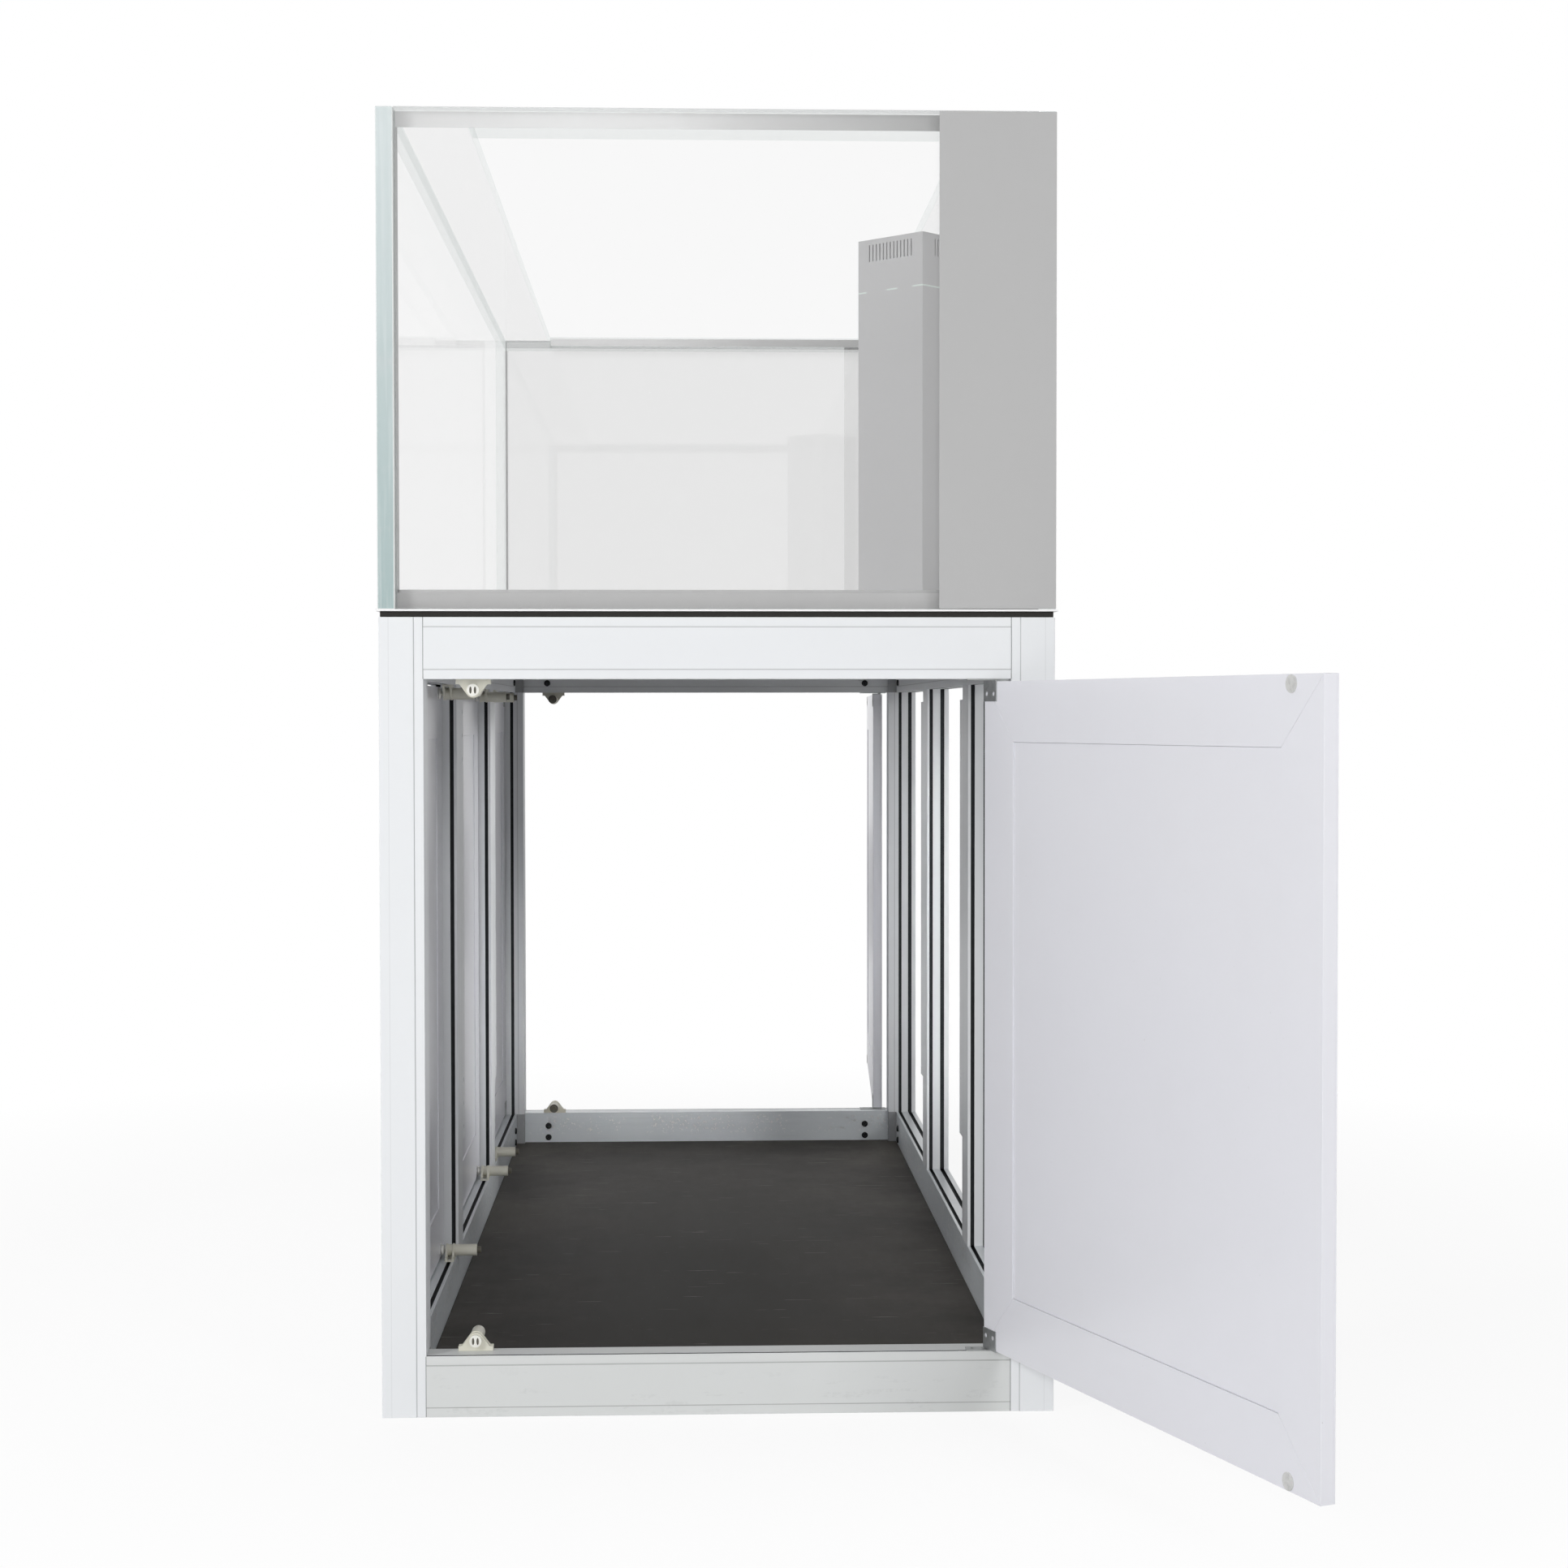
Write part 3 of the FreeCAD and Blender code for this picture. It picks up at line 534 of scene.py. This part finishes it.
def plates(name, boxes, flat, body, finish, edge_finish=None, thin_axes=None, front_finish=None):
    """One piece of several plates, their edges ground flat by flat.

    Faces across a plate's thin axis take the finish and the others the edge finish. Of those, the
    ones that look to -Y take the front finish when there is one.
    """
    vertices, faces, marks = [], [], []
    start = 0
    for number, (low, high) in enumerate(boxes):
        points, rings, kinds = plate_arrays(low, high, flat)
        thin = thin_axes[number] if thin_axes else int(np.argmin(np.array(high) - low))
        vertices.append(points)
        faces += [[start + i for i in ring] for ring in rings]
        front_mark = 2 if front_finish and thin != 1 else int(thin != 1)
        face_marks = {thin: 0, FRONT_FACE: front_mark}
        marks += [face_marks.get(kind, 1) for kind in kinds]
        start += len(points)
    finishes = [f for f in (finish, edge_finish, front_finish) if f]
    piece = mesh_piece(name, np.concatenate(vertices), faces, body, *finishes)
    if edge_finish:
        piece.data.polygons.foreach_set("material_index", marks)
    return piece


def bead_arrays(start, end, side_a, side_b, size, rings=9):
    """A fillet of sealant in a corner: a hollow quarter circle of the given size, carried from
    start to end.

    Its points are corner + size * (a + b) - size * (cos t * a + sin t * b), t from 0 to 90
    degrees, closed by the corner itself.
    """
    start, end = np.array(start, float), np.array(end, float)
    a, b = np.array(side_a, float), np.array(side_b, float)
    t = np.linspace(0, math.pi / 2, rings)[:, None]
    curve = size * (a + b) - size * (np.cos(t) * a + np.sin(t) * b)
    profile = np.concatenate([curve, np.zeros((1, 3))])
    count = len(profile)
    vertices = np.concatenate([start + profile, end + profile])
    faces = [[i, (i + 1) % count, count + (i + 1) % count, count + i] for i in range(count)]
    faces += [list(range(count)), list(range(count, 2 * count))]
    return vertices, faces


def marked_faces(mesh, node):
    """Which faces of a CAD node take its second finish.

    On a frame member, those in its grooves, within 5 mm of the edge that looks into an opening. On
    the latches, those of the adjusters, told by how far in they lie from the cabinet's outer face.
    On a door's fittings, those of the strike discs, which lie far from the hinge.

    off is how far in a face lies from the cabinet's outer face, deep how far in from the edge of
    the opening.
    """
    centres = np.empty(len(mesh.polygons) * 3)
    mesh.polygons.foreach_get("center", centres)
    centres = centres.reshape(-1, 3) / MM
    if node.endswith("_fittings"):
        hinge_x, hinge_y = HINGES[node[:-len("_fittings")]]
        far_from_hinge = 300
        return np.hypot(centres[:, 0] - hinge_x, centres[:, 1] - hinge_y) > far_from_hinge
    x, y, z = np.abs(centres).T
    from_side, from_end = HALF_WIDTH - x, HALF_LENGTH - y
    if node == "latch_bodies":
        middle, half = 66.6, 2.7
        return (np.abs(from_side - middle) < half) | (np.abs(from_end - middle) < half)
    if node.endswith("_post"):
        deep = y - (HALF_LENGTH - POST_LENGTH)
    elif "mullion" in node:
        deep = MULLION_HALF - np.abs(y - MULLION_Y)
    else:
        deep = RAIL_HEIGHT - (MIDDLE_HEIGHT - np.abs(z - MIDDLE_HEIGHT))
    if node.startswith(("front", "back")) and node.endswith("_rail"):
        grooves, off = ((1.5, 5.0),), from_end
    else:
        grooves, off = ((8.0, 14.0), (26.0, 31.0)), from_side
    slack, shallowest, deepest = 0.05, 0.3, 5.1
    inside = np.zeros(len(mesh.polygons), dtype=bool)
    for start, end in grooves:
        inside |= (off > start - slack) & (off < end + slack)
    return inside & (deep > shallowest) & (deep < deepest)


def plunger_slots(door, place, finish):
    """Two dark ovals on a plunger's head: centre + across a cos t + up b sin t, for t once round.

    a and b are half the width and half the height of an oval.
    """
    node = "%s_%s_plunger" % (door, place)
    low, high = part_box(node)
    low, high = np.array(low), np.array(high)
    out = {"front_door": (0, -1, 0), "back_door": (0, 1, 0)}.get(door, (-1, 0, 0))
    out, up = np.array(out, dtype=float), np.array((0.0, 0.0, 1.0))
    across = np.cross(up, out)
    head = (low + high) / 2 + out * np.abs(out @ (high - low)) / 2
    half_width, half_height, off_middle = 1.3 * MM, 3.9 * MM, 2.5 * MM
    under, over = 0.02 * MM, 0.12 * MM
    count = 20
    turn = np.linspace(0, 2 * math.pi, count, endpoint=False)
    ring = np.outer(np.cos(turn), across) * half_width + np.outer(np.sin(turn), up) * half_height
    vertices, faces = [], []
    for first, side in ((0, -off_middle), (2 * count, off_middle)):
        vertices += [head + across * side + ring + out * depth for depth in (under, over)]
        last = first + count
        faces += [[first + i for i in reversed(range(count))], [last + i for i in range(count)]]
        for i in range(count):
            after = (i + 1) % count
            faces.append([first + i, first + after, last + after, last + i])
    piece = mesh_piece(node + "_slots", np.concatenate(vertices), faces, node + "_body", finish)


def softened(node, width, finish, second=None, drawn_in=0.0):
    """A copy of a CAD node, welded, its flat faces joined and its edges eased by width.

    second is the finish of its marked faces. drawn_in moves its skin inwards, so that a part that
    stops against it meets it without sinking in.
    """
    source = frame["nodes"][node]
    mesh = source.data.copy()
    mesh.name = node + "_eased"
    shell = bmesh.new()
    shell.from_mesh(mesh)
    bmesh.ops.remove_doubles(shell, verts=shell.verts, dist=0.01 * MM)
    bmesh.ops.dissolve_limit(shell, angle_limit=math.radians(0.6), verts=shell.verts,
                             edges=shell.edges)
    shell.to_mesh(mesh)
    shell.free()
    mesh.materials.clear()
    mesh.materials.append(finish)
    for name in ("sharp_face", "sharp_edge", "custom_normal"):
        if name in mesh.attributes:
            mesh.attributes.remove(mesh.attributes[name])
    mesh.polygons.foreach_set("use_smooth", [False] * len(mesh.polygons))
    if second:
        mesh.materials.append(second)
        mesh.polygons.foreach_set("material_index", marked_faces(mesh, node).astype(np.int32))
    piece = bpy.data.objects.new(node + "_eased", mesh)
    bpy.context.scene.collection.objects.link(piece)
    easing = piece.modifiers.new("eased_edges", "BEVEL")
    easing.width = width
    easing.segments = 2
    easing.limit_method = "ANGLE"
    easing.angle_limit = math.radians(35)
    easing.use_clamp_overlap = False
    easing.harden_normals = False
    if drawn_in:
        skin = piece.modifiers.new("drawn_in", "DISPLACE")
        skin.mid_level = 0.0
        skin.strength = -drawn_in
    body = source["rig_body"]
    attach(piece, body)
    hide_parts(node)
    return piece


def refinish(node, finish):
    """Gives a CAD node's own slots a finish."""
    data = frame["nodes"][node].data
    for index in range(max(1, len(data.materials))):
        if len(data.materials) <= index:
            data.materials.append(finish)
        else:
            data.materials[index] = finish


# ---------------------------------------------------------------- cabinet
def dress_cabinet():
    """Frame members, doors, boards and fittings in their finishes."""
    white = srgb(234, 236, 238)
    post_coat = powder_coat("powder_coat_posts", white, kind="post")
    rail_coat = powder_coat("powder_coat_rails", white, kind="rail")
    mullion_coat = powder_coat("powder_coat_mullions", white, kind="mullion")
    # The lower front rail takes a darker copy of the white: painted shade for the light falling off
    # towards the floor. Its smudges are dirt.
    shaded_low_coat = powder_coat("powder_coat_low_shaded", srgb(217, 219, 218), 0.30, "rail")
    groove_shade = painted_groove_shade("painted_groove_shade")
    inner_coat = chipped_coat("powder_coat_chipped", srgb(226, 231, 234))
    strip_coat = powder_coat("strip_coat", srgb(236, 238, 240))
    lacquer = door_paint("door_lacquer", srgb(238, 238, 242))
    for node in frame["nodes"]:
        ease = 0.35 * MM
        if node.endswith("_post"):
            ease, coat = 0.5 * MM, post_coat
        elif node == "front_bottom_rail":
            coat = shaded_low_coat
        elif node.endswith("_bottom_rail"):
            coat = inner_coat
        elif node.endswith("_rail"):
            coat = rail_coat
        elif "_mullion_" in node:
            coat = mullion_coat
        else:
            continue
        softened(node, ease, coat, groove_shade)
    refinish("cross_beams", strip_coat)
    softened("mounting_strips", 0.3 * MM, strip_coat)
    board = laminate("phenolic_board")
    refinish("floor_board", board)
    refinish("top_board", board)
    refinish("joint_blocks", steel("block_metal", srgb(176, 178, 182), 0.4))
    refinish("joint_screws", black_oxide("black_oxide"))
    zinc = steel("zinc_plate", srgb(178, 180, 180), 0.34)
    refinish("pivot_plates", zinc)
    refinish("latch_screws", zinc)
    ivory = ivory_plastic("ivory_plastic", srgb(228, 227, 216))
    head = ivory_plastic("ivory_head", srgb(248, 248, 245))
    adjuster = ivory_plastic("adjuster_grey", srgb(104, 101, 92))
    softened("latch_bodies", 0.3 * MM, ivory, adjuster, 0.05 * MM)
    strike = steel("strike_metal", srgb(232, 232, 230), 0.45)
    dark_slot = ivory_plastic("plunger_slot", srgb(92, 88, 80))
    for door in HINGES:
        softened(door + "_frame", 0.3 * MM, lacquer)
        softened(door + "_panel", 0.35 * MM, lacquer)
        softened(door + "_fittings", 0.15 * MM, zinc, strike)
        for place in ("bottom", "top"):
            refinish("%s_%s_plunger" % (door, place), head)
            plunger_slots(door, place, dark_slot)


# ---------------------------------------------------------------- tank
def dress_tank():
    """Glass panes, their bonds and beads, the films, and what they stand on."""
    left_low, left_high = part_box("left_pane")
    right_low, right_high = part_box("right_pane")
    _, bottom_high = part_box("bottom_pane")
    _, brace_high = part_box("rim_braces")
    base, top = left_low.z, left_high.z
    front, back = left_low.y, left_high.y
    glass = left_high.x - left_low.x
    in_left, in_right = left_high.x, right_low.x
    in_front, in_back = front + glass, back - glass
    thin = 0.3 * MM  # gap between neighbouring panes
    ground = 0.8 * MM  # width of a ground edge

    near = clear_glass("glass_near", 0.968, haze=0.01)
    far = clear_glass("glass_far", 0.915, 0.06, haze=0.02)
    side = clear_glass("glass_side", 0.985, 0.03, 0.22)
    rim = clear_glass("glass_rim", 0.988, 0.02, 0.10)
    aqua = glass_edge("glass_edge", srgb(204, 214, 215), srgb(146, 170, 170), base, top)
    soft_aqua = glass_edge("glass_edge_soft", srgb(226, 231, 231), srgb(213, 219, 218), base, top,
                           0.25)
    bonded = glass_edge("bonded_edge", srgb(222, 224, 224), srgb(214, 217, 217), base, top, 0.5)
    rim_edge = glass_edge("rim_edge", srgb(244, 245, 245), srgb(238, 240, 240), base, top, 0.16)

    def pane(name, low, high, face, edge, front_edge=None):
        piece = plates(name + "_ground", [(low, high)], ground, FIXED, face, edge, None, front_edge)
        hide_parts(name)

    inner_left, inner_right = in_left + thin, in_right - thin
    inner_front, inner_back = in_front + thin, in_back - thin
    pane("left_pane", (left_low.x, front, base), (in_left, back, top), side, soft_aqua, aqua)
    pane("right_pane", (in_right, front, base), (right_high.x, back, top), side, soft_aqua, aqua)
    pane("front_pane", (inner_left, front, base), (inner_right, in_front - thin, top), near, bonded)
    pane("back_pane", (inner_left, in_back + thin, base), (inner_right, back, top), far, bonded)
    pane("bottom_pane", (inner_left, inner_front, base), (inner_right, inner_back, bottom_high.z),
         rim, rim_edge)

    rim_bottom, rim_top = top - glass, brace_high.z
    left_run, right_run, end_run = 101 * MM, 95 * MM, 72 * MM
    middle_left, middle_right = left_low.x + left_run, right_high.x - right_run
    near_y, far_y = front + end_run, back - end_run
    braces = [
        ((inner_left, inner_front, rim_bottom), (middle_left, inner_back, rim_top)),
        ((middle_right, inner_front, rim_bottom), (inner_right, inner_back, rim_top)),
        ((middle_left + thin, inner_front, rim_bottom), (middle_right - thin, near_y, rim_top)),
        ((middle_left + thin, far_y, rim_bottom), (middle_right - thin, inner_back, rim_top)),
    ]
    flat_lying = [2] * len(braces)
    piece = plates("rim_braces_ground", braces, ground, FIXED, rim, rim_edge, flat_lying)
    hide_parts("rim_braces")

    # Bonds fill the gaps of thickness thin, from a to b off the pane's inner face.
    light_bond = bond("bond_upper", ((-0.35, 240), (-0.16, 255), (-0.05, 250), (0.05, 226),
                                     (0.22, 190)), 0.75)
    grey_bond = bond("bond_lower", ((-0.35, 202), (0.35, 202)))
    a, b = 0.05 * MM, thin - 0.05 * MM
    upper = [((inner_left, in_front - b, rim_bottom), (inner_right, in_front - a, rim_top))]
    above_rim = rim_bottom + 5 * MM
    far_upper = [((inner_left, in_back + a, above_rim), (inner_right, in_back + b, rim_top))]
    lower = [((inner_left, in_front - b, base), (inner_right, in_front - a, bottom_high.z)),
             ((inner_left, in_back + a, base), (inner_right, in_back + b, bottom_high.z))]
    for x0, x1 in ((in_left + a, in_left + b), (in_right - b, in_right - a)):
        lower += [((x0, front + ground, base), (x1, in_front, top - ground)),
                  ((x0, in_back, base), (x1, back - ground, top - ground)),
                  ((x0, in_front, base), (x1, in_back, bottom_high.z))]
    far_bond = bond("bond_far", ((-0.35, 235), (0.3, 225)), 0.2)
    far_edge = bond("brace_edge_far", ((-0.3, 252), (-0.08, 240), (0.1, 205), (0.28, 186)), 0.85)
    edge = [((middle_left + MM, far_y - 0.28 * MM, rim_bottom + 2 * MM),
             (middle_right - MM, far_y - a, top - 4 * MM))]
    runs = (("bond_upper", upper, light_bond), ("bond_lower", lower, grey_bond),
            ("bond_far", far_upper, far_bond), ("brace_edge_far", edge, far_edge))
    for name, boxes, finish in runs:
        plates(name, boxes, 0.01 * MM, FIXED, finish)

    seal = bond("silicone", ((-0.35, 205), (0.35, 200)), 0.7)
    bead_size = 3.5 * MM
    floor = bottom_high.z
    beads = []
    for x, side_x in ((in_left, 1), (in_right, -1)):
        for y, side_y in ((in_front, 1), (in_back, -1)):
            beads.append(((x, y, floor), (x, y, rim_bottom), (side_x, 0, 0), (0, side_y, 0)))
        beads.append(((x, in_front, floor), (x, in_back, floor), (side_x, 0, 0), (0, 0, 1)))
    for y, side_y in ((in_front, 1), (in_back, -1)):
        beads.append(((in_left, y, floor), (in_right, y, floor), (0, side_y, 0), (0, 0, 1)))
    vertices, faces, start = [], [], 0
    for bead in beads:
        points, rings = bead_arrays(*bead, bead_size)
        vertices.append(points)
        faces += [[start + i for i in ring] for ring in rings]
        start += len(points)
    piece = mesh_piece("silicone_beads", np.concatenate(vertices), faces, FIXED, seal)

    film_x, back_film_x = 245.5 * MM, 249.5 * MM
    off_near, off_far = 0.1 * MM, 0.35 * MM
    film_low, film_high = base + MM, top - MM
    films = (
        ("front_masking_film", film_x, front - off_far, front - off_near,
         masking_film("masking_film", grey(184))),
        ("back_masking_film", back_film_x, back + off_near, back + off_far,
         masking_film("masking_film_back", grey(252), 0.12)),
    )
    for name, x, y0, y1, finish in films:
        box = ((x, y0, film_low), (right_high.x, y1, film_high))
        plates(name, [box], 0.02 * MM, FIXED, finish)

    # Height of the painted glint, where the comb meets the box.
    glint_height = 1.341
    tower_grey = srgb(203, 203, 204)
    refinish("overflow_tower", overflow_acrylic("overflow_acrylic", tower_grey, glint_height))
    refinish("drain_fittings", pipe_plastic("pipe_plastic"))
    softened("support_mat", 0.8 * MM, foam("closed_cell_foam"))
    softened("base_sheet", 0.3 * MM, white_sheet("foamed_sheet"))


# ---------------------------------------------------------------- stage
def add_floor():
    """A pale floor: it keeps the object's shadow near by, and turns plain white away from it."""
    paint = Paint("floor_white")
    ray = paint.node("ShaderNodeLightPath", output="Is Camera Ray")
    east, north = paint.axis("X"), paint.axis("Y")
    reach = (east * east + north * north) ** 0.5
    plain = 0.88 + reach.above(1.0, 1.0) * 0.12
    pale = paint.node("ShaderNodeBsdfDiffuse", inputs={"Color": (0.93, 0.93, 0.93, 1.0)})
    glow = paint.node("ShaderNodeEmission",
                      inputs={"Color": (1.0, 1.0, 1.0, 1.0), "Strength": 1.0})
    surface = paint.node("ShaderNodeMixShader", inputs={0: ray * plain, 1: pale, 2: glow})
    mesh = bpy.data.meshes.new("floor")
    half = 14.0
    corners = [(-half, -half, 0), (half, -half, 0), (half, half, 0), (-half, half, 0)]
    mesh.from_pydata(corners, [], [(0, 1, 2, 3)])
    mesh.materials.append(paint.shown(surface))
    floor = bpy.data.objects.new("floor", mesh)
    floor.location.z = -0.5 * MM
    bpy.context.scene.collection.objects.link(floor)


def add_world():
    """Studio surround: white to the camera and in reflections, softer as a light and weaker
    from the right."""
    world = bpy.data.worlds.new("studio")
    bpy.context.scene.world = world
    world.use_nodes = True
    tree = world.node_tree
    tree.nodes.clear()
    path = tree.nodes.new("ShaderNodeLightPath")
    shown_white = path.outputs["Is Camera Ray"]
    for ray in ("Is Glossy Ray", "Is Transmission Ray"):
        either = tree.nodes.new("ShaderNodeMath")
        either.operation = "MAXIMUM"
        tree.links.new(shown_white, either.inputs[0])
        tree.links.new(path.outputs[ray], either.inputs[1])
        shown_white = either.outputs[0]
    place = tree.nodes.new("ShaderNodeTexCoord")
    way = tree.nodes.new("ShaderNodeSeparateXYZ")
    east = tree.nodes.new("ShaderNodeClamp")
    fill = tree.nodes.new("ShaderNodeMath")
    fill.operation = "MULTIPLY_ADD"
    fill.inputs[1].default_value = -EAST_SHADE * FILL
    fill.inputs[2].default_value = FILL
    tree.links.new(place.outputs["Generated"], way.inputs[0])
    tree.links.new(way.outputs["X"], east.inputs[0])
    tree.links.new(east.outputs[0], fill.inputs[0])
    strength = tree.nodes.new("ShaderNodeMapRange")
    strength.inputs["To Max"].default_value = 1.0
    tree.links.new(shown_white, strength.inputs["Value"])
    tree.links.new(fill.outputs[0], strength.inputs["To Min"])
    surround = tree.nodes.new("ShaderNodeBackground")
    surround.inputs["Color"].default_value = (1.0, 1.0, 1.0, 1.0)
    tree.links.new(strength.outputs[0], surround.inputs["Strength"])
    shown = tree.nodes.new("ShaderNodeOutputWorld")
    tree.links.new(surround.outputs[0], shown.inputs[0])


def add_softbox(name, place, aim, width, height, power, spread=180):
    """A rectangular lamp at place, turned to aim. Spread is its grid's angle, in degrees."""
    lamp = bpy.data.lights.new(name, "AREA")
    lamp.shape = "RECTANGLE"
    lamp.size, lamp.size_y = width, height
    lamp.energy = power
    lamp.spread = math.radians(spread)
    box = bpy.data.objects.new(name, lamp)
    box.location = place
    box.visible_glossy = False
    box.visible_camera = False
    box.rotation_euler = (Vector(aim) - Vector(place)).to_track_quat("-Z", "Y").to_euler()
    bpy.context.scene.collection.objects.link(box)


def add_lights():
    """Lamps before, beside, above and behind the object, and two low ones inside the doorway."""
    add_softbox("front_key", (-0.24, -6.2, 1.5), (0.0, -0.4, 0.5), 0.4, 0.8, 40)
    add_softbox("left_fill", (-2.8, -3.4, 2.0), (0.4, -1.2, 0.45), 1.0, 1.0, 49)
    add_softbox("right_fill", (2.3, -4.6, 1.9), (0.2, -1.0, 0.5), 0.8, 1.0, 36)
    add_softbox("side_grid", (2.7, -0.30, 0.72), (-0.35, 0.24, 0.42), 0.3, 0.7, 0.38, 8)
    add_softbox("ceiling", (0.0, 0.3, 4.2), (0.0, 0.3, 0.0), 2.4, 2.4, 26)
    add_softbox("rear_fill", (-1.3, 4.6, 1.2), (0.2, 0.5, 0.5), 1.0, 1.0, 38)
    add_softbox("inside_low", (-0.10, -0.84, 0.40), (-0.10, 0.85, 0.25), 0.35, 0.3, 0.24, 14)
    add_softbox("inside_right", (-0.02, -0.84, 0.45), (0.34, 0.30, 0.45), 0.3, 0.6, 0.21, 15)


add_camera()
dress_cabinet()
dress_tank()
add_floor()
add_world()
add_lights()
bpy.context.scene.view_settings.view_transform = "Standard"
